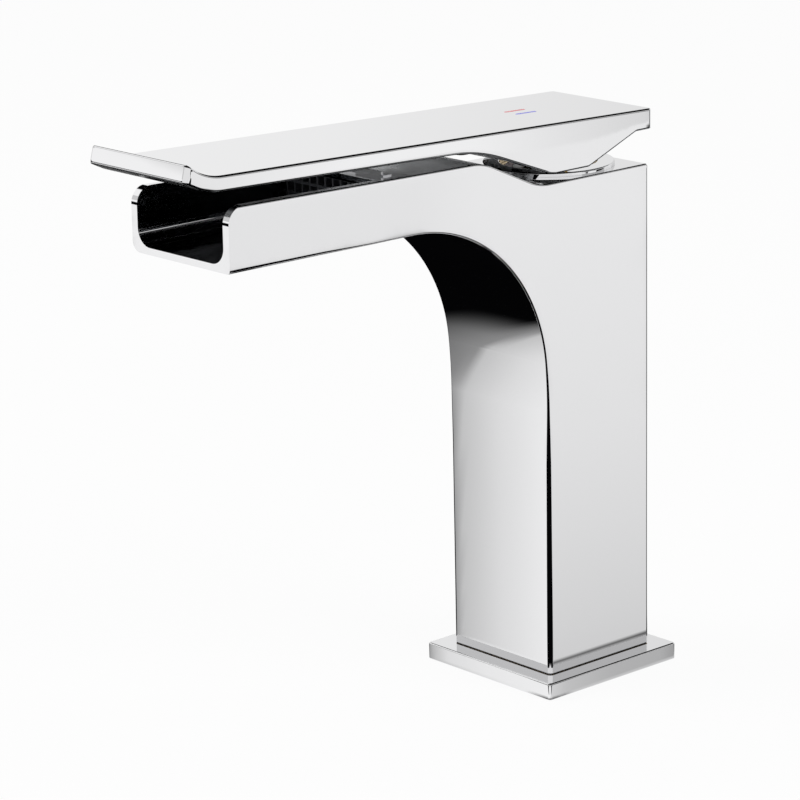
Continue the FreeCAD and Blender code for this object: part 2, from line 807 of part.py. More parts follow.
def lever_block():
    block = across(lever_outline(), lever_width / 2)
    half = lever_width / 2

    def is_rear_corner(point, edge):
        return abs(abs(point.x) - half) < 1e-3 and abs(point.y - lever_rear) < 1e-3

    def is_lip_corner(point, edge):
        return abs(abs(point.x) - half) < 1e-3 and point.y < -lip_reach - 0.1

    def is_rim(point, edge):
        upright = abs(edge.tangentAt(edge.FirstParameter).z) > 0.999
        at_side = abs(abs(point.x) - half) < lever_rear_radius
        at_end = point.y > lever_rear - 1e-3 or point.y < -lip_reach + 0.5
        return not upright and (at_side or at_end)

    block = block.makeFillet(lever_rear_radius, edges_where(block, is_rear_corner))
    block = block.makeFillet(lip_corner_radius, edges_where(block, is_lip_corner))
    return block.makeChamfer(lever_edge_chamfer, edges_where(block, is_rim))


def lever_pocket():
    """Room under the belly round the stem's boss."""
    ceiling = top_z(0) - lever_wall
    half = lever_width / 2 - lever_wall
    points = [
        (-pocket_front, ceiling + 0.5, 1.0),
        (-belly_foot, column_top, 0),
        (pocket_back, column_top, 0),
        (pocket_back, ceiling - 0.3, 1.0),
    ]
    pocket = across(face_of(rounded_path(points, in_yz, closed=True)), half)
    side = socket_boss_side / 2
    boss = box(-side, side, -side, side, column_top, ceiling + 5)
    rib = box(-screw_rib_width / 2, screw_rib_width / 2, 0, pocket_back + 1, column_top, ceiling + 5)
    return pocket.cut(boss).cut(rib)


def screw_z():
    return lever_rear_z - rear_slab_thickness / 2


def along_y(radius, y0, y1):
    return Part.makeCylinder(radius, y1 - y0, Vector(0, y0, screw_z()), Vector(0, 1, 0))


def mark_prism(side):
    x = side * mark_spacing / 2
    y = -mark_setback
    return box(x - mark_width / 2, x + mark_width / 2, y - mark_length / 2, y + mark_length / 2,
               column_top, lip_foot_z + lip_rise)


def make_mark(side):
    """Thin enamel line let into the lever's top, flush with it."""
    block = across(lever_outline(), lever_width / 2)
    return mark_prism(side).common(block).cut(block.translated(Vector(0, 0, -mark_depth)))


def make_lever():
    lever = lever_block()
    lever = lever.cut(lever_pocket())
    half = stem_side / 2 + socket_clearance
    lever = lever.cut(box(-half, half, -half, half, column_top, stem_top_z() + socket_clearance))
    lever = lever.cut(along_y(grub_screw_radius + 0.03, 0, lever_rear + 1))
    lever = lever.cut(along_y(plug_radius + 0.03, lever_rear - plug_length, lever_rear + 1))
    for side in (-1, 1):
        lever = lever.cut(make_mark(side))
    return lever


def make_grub_screw():
    start = stem_side / 2
    screw = along_y(grub_screw_radius, start, start + grub_screw_length)
    points = []
    for index in range(6):
        angle = math.radians(60 * index)
        reach = grub_hex_side / 2 / math.cos(math.radians(30))
        points.append((reach * math.cos(angle), screw_z() + reach * math.sin(angle), 0))
    hex_face = face_of(rounded_path(points, in_xz, closed=True))
    end = start + grub_screw_length
    socket = hex_face.translated(Vector(0, end - grub_hex_depth, 0)).extrude(Vector(0, grub_hex_depth + 1, 0))
    return screw.cut(socket)


def make_screw_plug():
    plug = along_y(plug_radius, lever_rear - plug_length, lever_rear)
    rim = edges_where(plug, lambda point, edge: point.y > lever_rear - 1e-3)
    return plug.makeChamfer(plug_chamfer, rim)


# ---- write the parts ---------------------------------------------------------------------------
parts = {
    "body_casting": make_body(),
    "base_plate": make_base_plate(),
    "base_gasket": make_base_gasket(),
    "flow_grille": make_flow_grille(),
    "grille_clip": make_grille_clip(),
    "cartridge_base": make_cartridge_base(),
    "disc_seal": make_disc_seal(),
    "fixed_disc": make_fixed_disc(),
    "moving_disc": make_moving_disc(),
    "disc_carrier": make_disc_carrier(),
    "cartridge_housing": make_cartridge_housing(),
    "housing_o_ring": make_housing_o_ring(),
    "spindle_guide": make_spindle_guide(),
    "guide_o_ring": make_guide_o_ring(),
    "spindle_pin": make_spindle_pin(),
    "spindle": make_spindle(),
    "limit_ring": make_limit_ring(),
    "nut_washer": make_nut_washer(),
    "retaining_nut": make_retaining_nut(),
    "bonnet_ring": make_bonnet_ring(),
    "bonnet_seal": make_bonnet_seal(),
    "lever": make_lever(),
    "hot_mark": make_mark(-1),
    "cold_mark": make_mark(1),
    "grub_screw": make_grub_screw(),
    "screw_plug": make_screw_plug(),
}
for name, (x, y) in zip(("hot_port_seal", "cold_port_seal"), inlet_places()):
    parts[name] = port_seal(x, y)

os.makedirs("parts", exist_ok=True)
for name, shape in parts.items():
    solids = shape.Solids
    shape = solids[0] if len(solids) == 1 else Part.makeCompound(solids)
    shape.exportStep(f"parts/{name}.step")
    print(f"{name}: {len(solids)} solid, valid {shape.isValid()}, volume {shape.Volume:.1f}")
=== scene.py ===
import math

import bmesh
import bpy
import mathutils
import numpy as np
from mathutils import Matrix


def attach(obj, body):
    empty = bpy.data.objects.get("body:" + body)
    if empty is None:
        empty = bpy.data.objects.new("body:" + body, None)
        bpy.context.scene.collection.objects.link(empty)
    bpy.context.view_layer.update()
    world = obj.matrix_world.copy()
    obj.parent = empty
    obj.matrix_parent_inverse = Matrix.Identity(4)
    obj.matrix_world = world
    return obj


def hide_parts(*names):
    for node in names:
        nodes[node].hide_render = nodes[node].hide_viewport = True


# A single-lever waterfall basin faucet in polished chrome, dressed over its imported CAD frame.
# Sizes below are in millimetres, in the frame's own axes: the spout points to -Y and +Z is up.
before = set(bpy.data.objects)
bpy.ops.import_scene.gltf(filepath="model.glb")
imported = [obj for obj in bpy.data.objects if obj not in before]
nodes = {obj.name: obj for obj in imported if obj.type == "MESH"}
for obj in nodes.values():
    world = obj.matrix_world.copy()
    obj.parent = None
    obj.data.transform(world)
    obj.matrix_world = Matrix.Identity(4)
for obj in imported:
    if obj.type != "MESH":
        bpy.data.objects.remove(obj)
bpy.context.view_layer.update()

# ---- body casting ------------------------------------------------------------------------------
# Brass casting, machined and polished, then plated with nickel and bright chromium. Column, knee and
# open spout are one piece: a square section bent in side view, with softly rounded long edges, the
# waterway milled into it from above and the cartridge's chamber bored into its head.
body_half_width = 21.0
column_top = 154.2
deck_top = 164.1              # the ramp's head, where the closed deck over the waterway begins
spout_under = 147.5
rim_top = 165.7               # at the mouth
mouth_y = -138.3
bend_radius = 51.2            # under the spout
body_corners = [
    # y, z, radius of the corner in side view, radius of the long edge at -X and at +X from there on
    (body_half_width, -5.0, 0.0, 1.2, 1.2),
    (body_half_width, column_top, 1.3, 0.5, 0.5),
    (-24.0, column_top, 20.0, 0.5, 0.5),
    (-45.8, deck_top, 20.0, 0.5, 0.5),
    (-146.0, 165.83, 0.0, 0.5, 0.5),
    (-146.0, spout_under, 0.0, 3.2, 1.2),
    (-134.0, spout_under, 0.0, 3.0, 1.2),
    (-105.0, spout_under, 0.0, 1.2, 1.0),
    (-88.0, spout_under, 0.0, 0.6, 0.5),
    (-26.19, spout_under, bend_radius, 0.4, 0.4),
    (-body_half_width, 93.56, 160.0, 0.6, 0.6),
    (-body_half_width, 70.0, 0.0, 1.0, 1.0),
    (-body_half_width, -5.0, 0.0, 1.4, 1.4),
]
mouth_corner = 5.0
channel_half_width = 18.5
channel_floor = 149.5
channel_corner = 5.0
deck_front = -85.1
deck_thickness = 1.2
covered_length = 28.0         # how far the waterway runs on under the deck
plate_height = 5.2
shadow_gap, gap_depth = 0.35, 0.5    # rebate where the column meets the plate
nut_bore_radius, nut_bore_floor = 19.0, 148.1
chamber_radius, chamber_floor = 17.75, 119.0
foot_half, foot_height = 18.0, 8.0   # the foot drops through the plate
cavity_half, cavity_floor, cavity_height = 15.5, 16.0, 95.0
lug_half, lug_inset = 5.5, 9.5       # lugs that hold the studs, in the foot's cavity
stud_spacing, stud_hole_radius = 26.0, 2.5
inlet_spacing, inlet_y, inlet_radius = 14.0, -3.0, 4.46


def linear(colour):
    """Scene-linear RGBA of an sRGB hex colour, by the standard's two-part curve."""
    parts = [int(colour[i:i + 2], 16) / 255 for i in (1, 3, 5)]
    return tuple(c / 12.92 if c <= 0.04045 else ((c + 0.055) / 1.055) ** 2.4 for c in parts) + (1.0,)


def add_node(tree, kind, inputs=None, **settings):
    """One shader node with its settings; inputs gives each socket a value or another node's output."""
    made = tree.nodes.new(kind)
    for name, value in settings.items():
        setattr(made, name, value)
    for socket, value in (inputs or {}).items():
        if isinstance(value, bpy.types.NodeSocket):
            tree.links.new(value, made.inputs[socket])
        else:
            made.inputs[socket].default_value = value
    return made


def outward(piece):
    """Turns a closed mesh's faces outwards."""
    work = bmesh.new()
    work.from_mesh(piece.data)
    bmesh.ops.recalc_face_normals(work, faces=work.faces)
    work.to_mesh(piece.data)
    work.free()


def solid(name, points, faces, material=None):
    """Closed mesh object at the origin, from points in millimetres."""
    mesh = bpy.data.meshes.new(name)
    mesh.from_pydata((np.asarray(points, float) / 1000).tolist(), [], faces)
    mesh.validate()
    if material is not None:
        mesh.materials.append(material)
    made = bpy.data.objects.new(name, mesh)
    bpy.context.scene.collection.objects.link(made)
    outward(made)
    return made


def grid_faces(rows, columns, wrap_rows=False, wrap_columns=False):
    """Quads of a grid whose point (i, j) has the number i * columns + j, closed on itself where it wraps."""
    i, j = np.meshgrid(np.arange(rows if wrap_rows else rows - 1),
                       np.arange(columns if wrap_columns else columns - 1), indexing="ij")
    i, j = i.ravel(), j.ravel()
    below, beside = (i + 1) % rows, (j + 1) % columns
    quads = np.stack([i * columns + j, below * columns + j, below * columns + beside, i * columns + beside], 1)
    return quads.tolist()


def rounded_outline(corners, arc_step=0.8):
    """Closed outline in a plane: its points, its outward offset directions and its edge radii.

    Each corner (u, v, R, edge radii) becomes the arc of radius R tangent to both straight runs:
    centre = corner + bisector * R / sin(half angle), swept from one tangent point to the other. At a
    sharp corner the offset direction is (n1 + n2) / (1 + n1 . n2), which moves both runs by 1.
    """
    spots = np.array([c[:2] for c in corners], float)
    widths = np.array([c[3:] for c in corners], float)
    places, normals, edges = [], [], []
    for k, (u, v, radius, *_) in enumerate(corners):
        before = spots[k] - spots[k - 1]
        after = spots[(k + 1) % len(corners)] - spots[k]
        before /= np.linalg.norm(before)
        after /= np.linalg.norm(after)
        out_before = np.array([before[1], -before[0]])
        out_after = np.array([after[1], -after[0]])
        turn = math.atan2(before[0] * after[1] - before[1] * after[0], before @ after)
        if radius == 0:
            places.append(spots[k])
            normals.append((out_before + out_after) / max(1 + out_before @ out_after, 1e-6))
            edges.append(widths[k])
            continue
        side = math.copysign(1, turn)
        t = np.linspace(0, 1, max(4, int(abs(turn) * radius / arc_step)) + 1)[:, None]
        normal = np.hstack([out_before[0] * np.cos(turn * t) - out_before[1] * np.sin(turn * t),
                            out_before[0] * np.sin(turn * t) + out_before[1] * np.cos(turn * t)])
        centre = spots[k] - before * radius * math.tan(abs(turn) / 2) - out_before * radius * side
        places.extend(centre + normal * radius * side)
        normals.extend(normal)
        edges.extend(widths[k - 1] + (widths[k] - widths[k - 1]) * t)
    return np.array(places), np.array(normals), np.array(edges)


def run_line(corners, arc_step=0.5):
    """Open line through corners (u, v, radius): straight runs joined by tangent arcs of those radii."""
    return rounded_outline(corners, arc_step)[0]


def slab(name, outline, half_width, material, edge_steps=7):
    """Side profile (y, z) carried across X, with quarter-round long edges.

    At the angle a of an edge the profile is drawn in by edge * (1 - cos a) along its offset direction,
    and |x| = half_width - edge * (1 - sin a). Two flat cheeks close the ends.
    """
    place, normal, edge = outline
    a = np.linspace(0, math.pi / 2, edge_steps)
    turn = np.concatenate([a[::-1], a])
    side = np.repeat([-1, 1], edge_steps)
    radius = np.where(side < 0, edge[:, :1], edge[:, 1:])
    x = side * (half_width - radius * (1 - np.sin(turn)))
    flat = place[:, None, :] - (radius * (1 - np.cos(turn)))[..., None] * normal[:, None, :]
    points = np.concatenate([x[..., None], flat], 2).reshape(-1, 3)
    rows, columns = x.shape
    faces = grid_faces(rows, columns, wrap_rows=True)
    faces += [[i * columns for i in range(rows)], [i * columns + columns - 1 for i in range(rows)]]
    return solid(name, points, faces, material)


def prism(name, ring, run):
    """Closed ring of points carried along a straight run."""
    ring = np.asarray(ring, float)
    count = len(ring)
    points = np.concatenate([ring, ring + np.asarray(run, float)])
    faces = grid_faces(2, count, wrap_columns=True)
    return solid(name, points, faces + [list(range(count)), list(range(count, 2 * count))])


def square(half_side, z):
    """Ring of a square's four corners round the axis at one height."""
    return np.array([(-1, -1, 0), (1, -1, 0), (1, 1, 0), (-1, 1, 0)]) * half_side + [0, 0, z]


def circle(radius, centre, across="z", steps=64):
    """Ring of points round a centre, in the plane that the named axis pierces."""
    a = np.linspace(0, 2 * math.pi, steps, endpoint=False)
    u, v, still = radius * np.cos(a), radius * np.sin(a), np.zeros(steps)
    return np.stack({"y": (u, still, v), "z": (u, v, still)}[across], 1) + np.asarray(centre, float)


def settle(piece):
    """Replaces a piece's mesh by the result of its modifiers."""
    made = bpy.data.meshes.new_from_object(piece.evaluated_get(bpy.context.evaluated_depsgraph_get()))
    piece.modifiers.clear()
    piece.data = made


def combine(piece, tool, how="DIFFERENCE"):
    """Cuts the tool out of the piece, or joins it on, and clears the tool away."""
    step = piece.modifiers.new(how.lower(), "BOOLEAN")
    step.operation = how
    step.solver = "EXACT"
    step.object = tool
    settle(piece)
    bpy.data.objects.remove(tool)


def finish_edges(piece, width=0.0, steps=3, angle=40):
    """Breaks the sharp edges that are left when a width is given, then lets each flat face keep its own normal.
    """
    if width:
        bevel = piece.modifiers.new("broken edges", "BEVEL")
        bevel.limit_method = "ANGLE"
        bevel.angle_limit = math.radians(angle)
        bevel.width = width / 1000
        bevel.segments = steps
        settle(piece)
    piece.data.shade_smooth()
    piece.data.set_sharp_from_angle(angle=math.radians(35))
    weighted = piece.modifiers.new("flat faces first", "WEIGHTED_NORMAL")
    weighted.keep_sharp = True
    settle(piece)


def repaint(piece, material, chosen):
    """Gives a second material to the faces that chosen(centres in millimetres, normals) picks."""
    faces = piece.data.polygons
    centres, normals = np.empty((len(faces), 3)), np.empty((len(faces), 3))
    slots = np.empty(len(faces), np.int32)
    faces.foreach_get("center", centres.ravel())
    faces.foreach_get("normal", normals.ravel())
    faces.foreach_get("material_index", slots)
    slots[chosen(centres * 1000, normals)] = len(piece.data.materials)
    piece.data.materials.append(material)
    faces.foreach_set("material_index", slots)


def dressed(piece, body, slot, *replaced):
    """Fixes a finished piece to its body, in place of the CAD nodes that it stands for."""
    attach(piece, body)
    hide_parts(*replaced)


def metal_material(name, colour, rough, drift, lay=(1.0, 1.0, 1.0), wave=0.05, metallic=1.0):
    """Metal whose polish drifts over some 12 mm between two roughnesses and waves under the light.

    lay stretches the drift along the axes, as brushing and milling do: a streak is 12 mm / lay wide.
    metallic below 1 is for a satin skin that also scatters light.
    """
    made = bpy.data.materials.new(name)
    made.use_nodes = True
    tree = made.node_tree
    shader = tree.nodes["Principled BSDF"]
    place = add_node(tree, "ShaderNodeTexCoord").outputs["Object"]
    laid = add_node(tree, "ShaderNodeMapping", {"Vector": place, "Scale": lay})
    smear = add_node(tree, "ShaderNodeTexNoise", {"Vector": laid.outputs["Vector"], "Scale": 80.0,
                     "Detail": 3.0})
    haze = add_node(tree, "ShaderNodeMapRange", {"Value": smear.outputs["Fac"], "From Min": 0.3,
                    "From Max": 0.7, "To Min": rough - drift, "To Max": rough + drift})
    swell = add_node(tree, "ShaderNodeTexNoise", {"Vector": laid.outputs["Vector"], "Scale": 28.0,
                     "Detail": 1.0})
    bump = add_node(tree, "ShaderNodeBump", {"Height": swell.outputs["Fac"], "Strength": wave,
                    "Distance": 0.0005})
    tree.links.new(haze.outputs["Result"], shader.inputs["Roughness"])
    tree.links.new(bump.outputs["Normal"], shader.inputs["Normal"])
    shader.inputs["Base Color"].default_value = linear(colour)
    shader.inputs["Metallic"].default_value = metallic
    return made


# Bright chromium over polished brass is a near-neutral mirror, with the faint waves of hand polishing.
chrome = metal_material("bright chromium plate", "#EFEFF0", 0.025, 0.012)
# Milled walls are plated but never buffed, with the cutter's streaks along Y. Their dark colour is painted
# shade, for the waterway and the rebate round the foot.
milled_and_painted_shade = metal_material("milled chromium plate, darkened as painted shade", "#66686B", 0.16, 0.06, (9.0, 0.6, 9.0), 0.3)

body = slab("body_finish", rounded_outline(body_corners), body_half_width, chrome)
combine(body, prism("plate's level", square(40, -20), (0, 0, 20 + plate_height)))

mouth_line = run_line([(mouth_y, 120, 0), (mouth_y, rim_top, mouth_corner), (-100, 165.04, 0)])[:-1]
mouth_ring = np.concatenate([[[-170, 120]], mouth_line, [[mouth_line[-1, 0], 190], [-170, 190]]])
combine(body, prism("mouth", np.insert(mouth_ring, 0, -40, axis=1), (80, 0, 0)))

half, low, r = channel_half_width, channel_floor, channel_corner
u_shape = run_line([(-half, 200, 0), (-half, low, r), (half, low, r), (half, 200, 0)])
u_ring = np.insert(u_shape, 1, -160, axis=1)
combine(body, prism("open waterway", u_ring, (0, deck_front + 160, 0)))
covered = np.clip(u_shape, None, [200, deck_top - deck_thickness])
combine(body, prism("covered waterway", np.insert(covered, 1, deck_front - 1, axis=1),
                    (0, covered_length, 0)))
combine(body, prism("nut's thread bore", circle(nut_bore_radius, (0, 0, nut_bore_floor), steps=96),
                    (0, 0, 20)))
combine(body, prism("cartridge chamber", circle(chamber_radius, (0, 0, chamber_floor), steps=96),
                    (0, 0, 40)))

rebate = prism("shadow gap", square(30, plate_height - 0.2), (0, 0, 0.2 + shadow_gap))
combine(rebate, prism("inside the gap", square(body_half_width - gap_depth, 4), (0, 0, 3)))
combine(body, rebate)
combine(body, prism("foot", square(foot_half, 0), (0, 0, foot_height)), "UNION")
combine(body, prism("hollow column", square(cavity_half, cavity_floor), (0, 0, cavity_height)))
side, lug, inset = cavity_half, lug_half, lug_inset
hollow = np.array([(-side, -side), (-lug, -side), (-lug, -inset), (lug, -inset), (lug, -side), (side, -side),
                   (side, side), (lug, side), (lug, inset), (-lug, inset), (-lug, side), (-side, side)])
combine(body, prism("hollow foot", np.insert(hollow, 2, -1, axis=1), (0, 0, 18)))
for side in (-1, 1):
    stud_place, inlet_place = (0, side * stud_spacing / 2, -1), (side * inlet_spacing / 2, inlet_y, 100)
    combine(body, prism("stud hole", circle(stud_hole_radius, stud_place, steps=32), (0, 0, 20)))
    combine(body, prism("inlet", circle(inlet_radius, inlet_place, steps=32), (0, 0, 25)))
finish_edges(body, 0.25)


def in_waterway(centre, normal):
    """The waterway's flat floor, walls and roof, but not its rounded corners, the mouth or the rim."""
    inside = (np.abs(centre[:, 0]) < channel_half_width + 0.05) & (centre[:, 2] > channel_floor - 0.5)
    inside &= (centre[:, 1] < -56) & (centre[:, 1] > mouth_y + 0.1)
    return inside & (np.abs(normal).max(1) > 0.99) & ~((normal[:, 2] > 0.5) & (centre[:, 2] > 156))


def in_bores(centre, normal):
    """The chamber, the hollow column and the foot."""
    return (np.abs(centre[:, 0]) < 19.3) & (np.abs(centre[:, 1]) < 19.3) & (centre[:, 2] < 153.8)


def in_gap(centre, normal):
    """The thin rebate round the column's foot."""
    level = (centre[:, 2] > plate_height - 0.01) & (centre[:, 2] < plate_height + shadow_gap + 0.01)
    return level & (np.abs(centre[:, :2]).max(1) > 20)


# The waterway's flat faces and the rebate round the foot take the milled plate, whose dark colour paints their
# shade.
repaint(body, milled_and_painted_shade, lambda centre, normal: in_waterway(centre, normal) | in_gap(centre, normal))
# Inside, the casting is bare: machined brass that water has dulled.
repaint(body, metal_material("machined brass", "#A98A52", 0.35, 0.08, (1.0, 1.0, 6.0), 0.2), in_bores)
dressed(body, "faucet_body", "chrome", "body_casting")

# ---- base plate --------------------------------------------------------------------------------
# Square trim plate under the column, pressed from brass, polished and chromium plated like the body.
# The column's foot drops through its square opening, and a rubber gasket lies in its underside.
plate_half = 26.8
plate_edge, plate_corner = 0.5, 1.0
aperture_half = 18.15
groove_inner, groove_outer, groove_top = 20.5, 23.5, 1.8


def square_ring(half_side, corner, z, steps=6):
    """Square of points round the axis at one height, each corner a quarter circle."""
    a = np.linspace(0, math.pi / 2, steps)
    arc = np.stack([np.cos(a), np.sin(a)], 1) * corner + (half_side - corner)
    quarters = [arc @ np.array([[math.cos(q), math.sin(q)], [-math.sin(q), math.cos(q)]])
                for q in np.arange(4) * math.pi / 2]
    return np.insert(np.concatenate(quarters), 2, z, axis=1)


def stacked(name, rings, material, closed=False):
    """Skin over rings of as many points each. closed joins the last to the first, else both ends get caps."""
    count = len(rings[0])
    faces = grid_faces(len(rings), count, wrap_rows=closed, wrap_columns=True)
    if not closed:
        last = (len(rings) - 1) * count
        faces += [list(range(count)), list(range(last, last + count))]
    return solid(name, np.concatenate(rings), faces, material)


a = np.linspace(0, math.pi / 2, 7)
plate_rings = [square_ring(plate_half - 0.2, 0.4, 0.0), square_ring(plate_half, plate_corner, 0.2)]
plate_rings += [square_ring(plate_half - plate_edge * (1 - math.cos(t)), plate_corner,
                            plate_height - plate_edge * (1 - math.sin(t))) for t in a]
plate_rings += [square_ring(aperture_half, 1.2, plate_height), square_ring(aperture_half, 1.2, 0.0),
                square_ring(groove_inner, 1.0, 0.0), square_ring(groove_inner, 1.0, groove_top),
                square_ring(groove_outer, 2.0, groove_top), square_ring(groove_outer, 2.0, 0.0)]
plate = stacked("base_plate_finish", plate_rings, chrome, closed=True)
finish_edges(plate)
dressed(plate, "faucet_body", "chrome", "base_plate")

# ---- lever -------------------------------------------------------------------------------------
# Zinc die casting as wide as the column, polished and chromium plated. A flat blade with a lip turned
# up at its front, and a belly that comes down over the column round the cartridge's stem.
lever_half_width = 21.0
lever_edge = 0.7
lever_rear_corner = 1.6
lip_corner = 1.6
lever_rear, lever_rear_top = 22.6, 170.4
lip_start = -132.0            # from here on the sections lie square to the lip's own bend
lever_top = [(lever_rear, lever_rear_top, 0), (-145.0, 174.88, 18.0), (-151.2, 179.28, 0)]
lever_under = [
    (lever_rear, 164.3, 0), (15.8, 164.3, 3.0), (-3.7, 156.7, 2.0), (-18.6, 156.7, 15.0),
    (-47.7, 167.6, 60.0), (-144.5, 170.48, 22.0), (-152.5, 174.28, 0),
]


def along(line, share):
    """Points of a line at shares of its own length."""
    steps = np.concatenate([[0], np.cumsum(np.linalg.norm(np.diff(line, axis=0), axis=1))])
    return np.stack([np.interp(share * steps[-1], steps, line[:, k]) for k in (0, 1)], 1)


def loft(name, top, under, width_cut, height_cut, half_width, edge, material, edge_steps=6):
    """Bar between a top line and an under line: each section is a rounded rectangle that spans both.

    A section's half width is half_width - width_cut, it is drawn in by height_cut at top and under, and
    its corners are quarter circles of the edge radius.
    """
    reach = (top - under) / 2
    height = np.linalg.norm(reach, axis=1)
    a = np.linspace(0, math.pi / 2, edge_steps)
    quarter = np.stack([np.cos(a), np.sin(a)], 1)
    across, rise = [], []
    for sx, sz, arc in ((1, 1, quarter), (-1, 1, quarter[::-1]), (-1, -1, quarter), (1, -1, quarter[::-1])):
        across.append(sx * ((half_width - width_cut - edge)[:, None] + edge * arc[:, 0]))
        rise.append(sz * ((height - height_cut - edge)[:, None] + edge * arc[:, 1]))
    across, rise = np.concatenate(across, 1), np.concatenate(rise, 1)
    flat = ((top + under) / 2)[:, None, :] + rise[..., None] * (reach / height[:, None])[:, None, :]
    rings = np.concatenate([across[..., None], flat], 2)
    return stacked(name, rings, material)


top_line, under_line = run_line(lever_top), run_line(lever_under)
stations = np.unique(np.concatenate([
    lever_rear - lever_rear_corner * (1 - np.cos(np.linspace(0, math.pi / 2, 12))),
    lever_rear - lever_edge * (1 - np.cos(np.linspace(0, math.pi / 2, 6))),
    under_line[(under_line[:, 0] < lever_rear) & (under_line[:, 0] > lip_start), 0],
    np.linspace(19.0, lip_start, 40),
]))[::-1]
top = np.stack([stations, np.interp(stations, top_line[::-1, 0], top_line[::-1, 1])], 1)
under = np.stack([stations, np.interp(stations, under_line[::-1, 0], under_line[::-1, 1])], 1)
tip_share = 1 - 0.1 * (1 - np.cos(np.linspace(0, math.pi / 2, 40)))
share = np.unique(np.concatenate([np.linspace(0, 0.9, 30), tip_share]))[1:]
top_lip = np.concatenate([[top[-1]], top_line[top_line[:, 0] < lip_start]])
under_lip = np.concatenate([[under[-1]], under_line[under_line[:, 0] < lip_start]])
top, under = np.concatenate([top, along(top_lip, share)]), np.concatenate([under, along(under_lip, share)])
travel = np.linalg.norm(np.diff((top + under) / 2, axis=0), axis=1)
travel = np.concatenate([[0], np.cumsum(travel)])


def end_cut(first, last):
    """How far a quarter circle of that radius draws in the first or last stretch of the bar."""
    from_first = np.clip(first - travel, 0, None)
    from_last = np.clip(last - (travel[-1] - travel), 0, None)
    return first - np.sqrt(first ** 2 - from_first ** 2) + last - np.sqrt(last ** 2 - from_last ** 2)


lever = loft("lever_finish", top, under, end_cut(lever_rear_corner, lip_corner),
             end_cut(lever_edge, lever_edge), lever_half_width, lever_edge, chrome)

# Cast-out pocket over the cartridge: only a boss round the stem and a rib for its screw are left.
ceiling = 168.4
pocket_half, pocket_front, pocket_back = 18.4, -46.0, 13.5
boss_half, socket_half, rib_half = 7.5, 4.05, 5.0
screw_z, screw_bore_radius, plug_bore_radius, plug_seat = 167.35, 2.03, 2.33, 20.1
pocket_ring = [(-pocket_half, pocket_front, ceiling + 0.5), (-pocket_half, -18.6, column_top),
               (-pocket_half, pocket_back, column_top), (-pocket_half, pocket_back, ceiling - 0.3)]
pocket = prism("lever's pocket", pocket_ring, (2 * pocket_half, 0, 0))
combine(pocket, prism("boss", square(boss_half, 150), (0, 0, 30)))
combine(pocket, prism("screw's rib", square(rib_half, 150) + [0, 9, 0], (0, 0, 30)))
combine(lever, pocket)
combine(lever, prism("stem's socket", square(socket_half, 150), (0, 0, 18.66)))
combine(lever, prism("screw's bore", circle(screw_bore_radius, (0, 0, screw_z), "y", 32), (0, 30, 0)))
combine(lever, prism("plug's bore", circle(plug_bore_radius, (0, plug_seat, screw_z), "y", 48), (0, 10, 0)))
finish_edges(lever)
# The underside and the pocket are plated as cast, so their skin is duller than the polished faces; their darker
# colour is painted shade.
as_cast_and_painted_shade = metal_material("chromium plate over cast zinc, darkened as painted shade", "#8E9092", 0.28, 0.05, wave=0.2)


def as_cast_and_shaded_faces(centre, normal):
    """All that faces down, and the pocket's flat walls, which get the as-cast skin and its painted shade."""
    inside = (np.abs(centre[:, 0]) < pocket_half + 0.1) & (centre[:, 2] < 168.95)
    inside &= (centre[:, 1] < pocket_back + 0.1) & (centre[:, 1] > pocket_front - 0.1)
    return (normal[:, 2] < -0.3) | (inside & (np.abs(normal).max(1) > 0.9))


repaint(lever, as_cast_and_painted_shade, as_cast_and_shaded_faces)
dressed(lever, "lever", "chrome", "lever")

# ---- hot and cold marks ------------------------------------------------------------------------
# Two hairlines of soft enamel, red for hot and blue for cold, filled into grooves in the lever's top
# and baked, so that each stands a few hundredths of a millimetre proud with round ends.
mark_length, mark_width, mark_x, mark_y = 8.2, 1.2, 2.35, -11.2
lever_top_slope = 0.02673


def enamel_material(name, colour):
    """Baked enamel: glossy, with a slightly uneven fill over about 2 mm."""
    made = bpy.data.materials.new(name)
    made.use_nodes = True
    tree = made.node_tree
    shader = tree.nodes["Principled BSDF"]
    place = add_node(tree, "ShaderNodeTexCoord").outputs["Object"]
    fill = add_node(tree, "ShaderNodeTexNoise", {"Vector": place, "Scale": 500.0, "Detail": 2.0})
    pale = tuple(0.7 * c + 0.3 for c in linear(colour)[:3]) + (1.0,)
    tone = add_node(tree, "ShaderNodeMix", {"Factor": fill.outputs["Fac"], 6: linear(colour), 7: pale},
                    data_type="RGBA")
    tree.links.new(tone.outputs[2], shader.inputs["Base Color"])
    shader.inputs["Roughness"].default_value = 0.25
    shader.inputs["Specular IOR Level"].default_value = 0.2
    return made


def mark(name, x, material):
    """Round-ended bar: outlines drawn in by 0, 0, 0.06 and 0.2 mm at heights that dome it slightly."""
    a = np.linspace(0, math.pi, 13)
    rings = []
    for drawn_in, rise in ((0, -0.2), (0, 0.0), (0.06, 0.03), (0.2, 0.04)):
        r = mark_width / 2 - drawn_in
        cap = np.stack([r * np.cos(a), r * np.sin(a) + mark_length / 2 - mark_width / 2], 1)
        ring = np.concatenate([cap, -cap]) + [x, mark_y]
        top_z = lever_rear_top + (lever_rear - ring[:, 1]) * lever_top_slope
        rings.append(np.insert(ring, 2, top_z + rise, axis=1))
    piece = stacked(name, rings, material)
    finish_edges(piece)
    return piece


hot = mark("hot_line", -mark_x, enamel_material("red enamel", "#E8243C"))
dressed(hot, "lever", "red_enamel", "hot_mark")
cold = mark("cold_line", mark_x, enamel_material("blue enamel", "#3F3CE8"))
dressed(cold, "lever", "blue_enamel", "cold_mark")

# ---- bonnet ring and its seal ------------------------------------------------------------------
# Low brass trim ring over the retaining nut, turned, polished and chromium plated. A rubber ring grips
# its skirt in the nut's thread bore.
bonnet_section = [(14.5, 153.7, 0.0), (18.0, 153.7, 0.0), (18.0, 154.22, 0.0), (19.6, 154.22, 0.0),
                  (19.6, 155.4, 0.45), (14.5, 155.4, 0.3)]


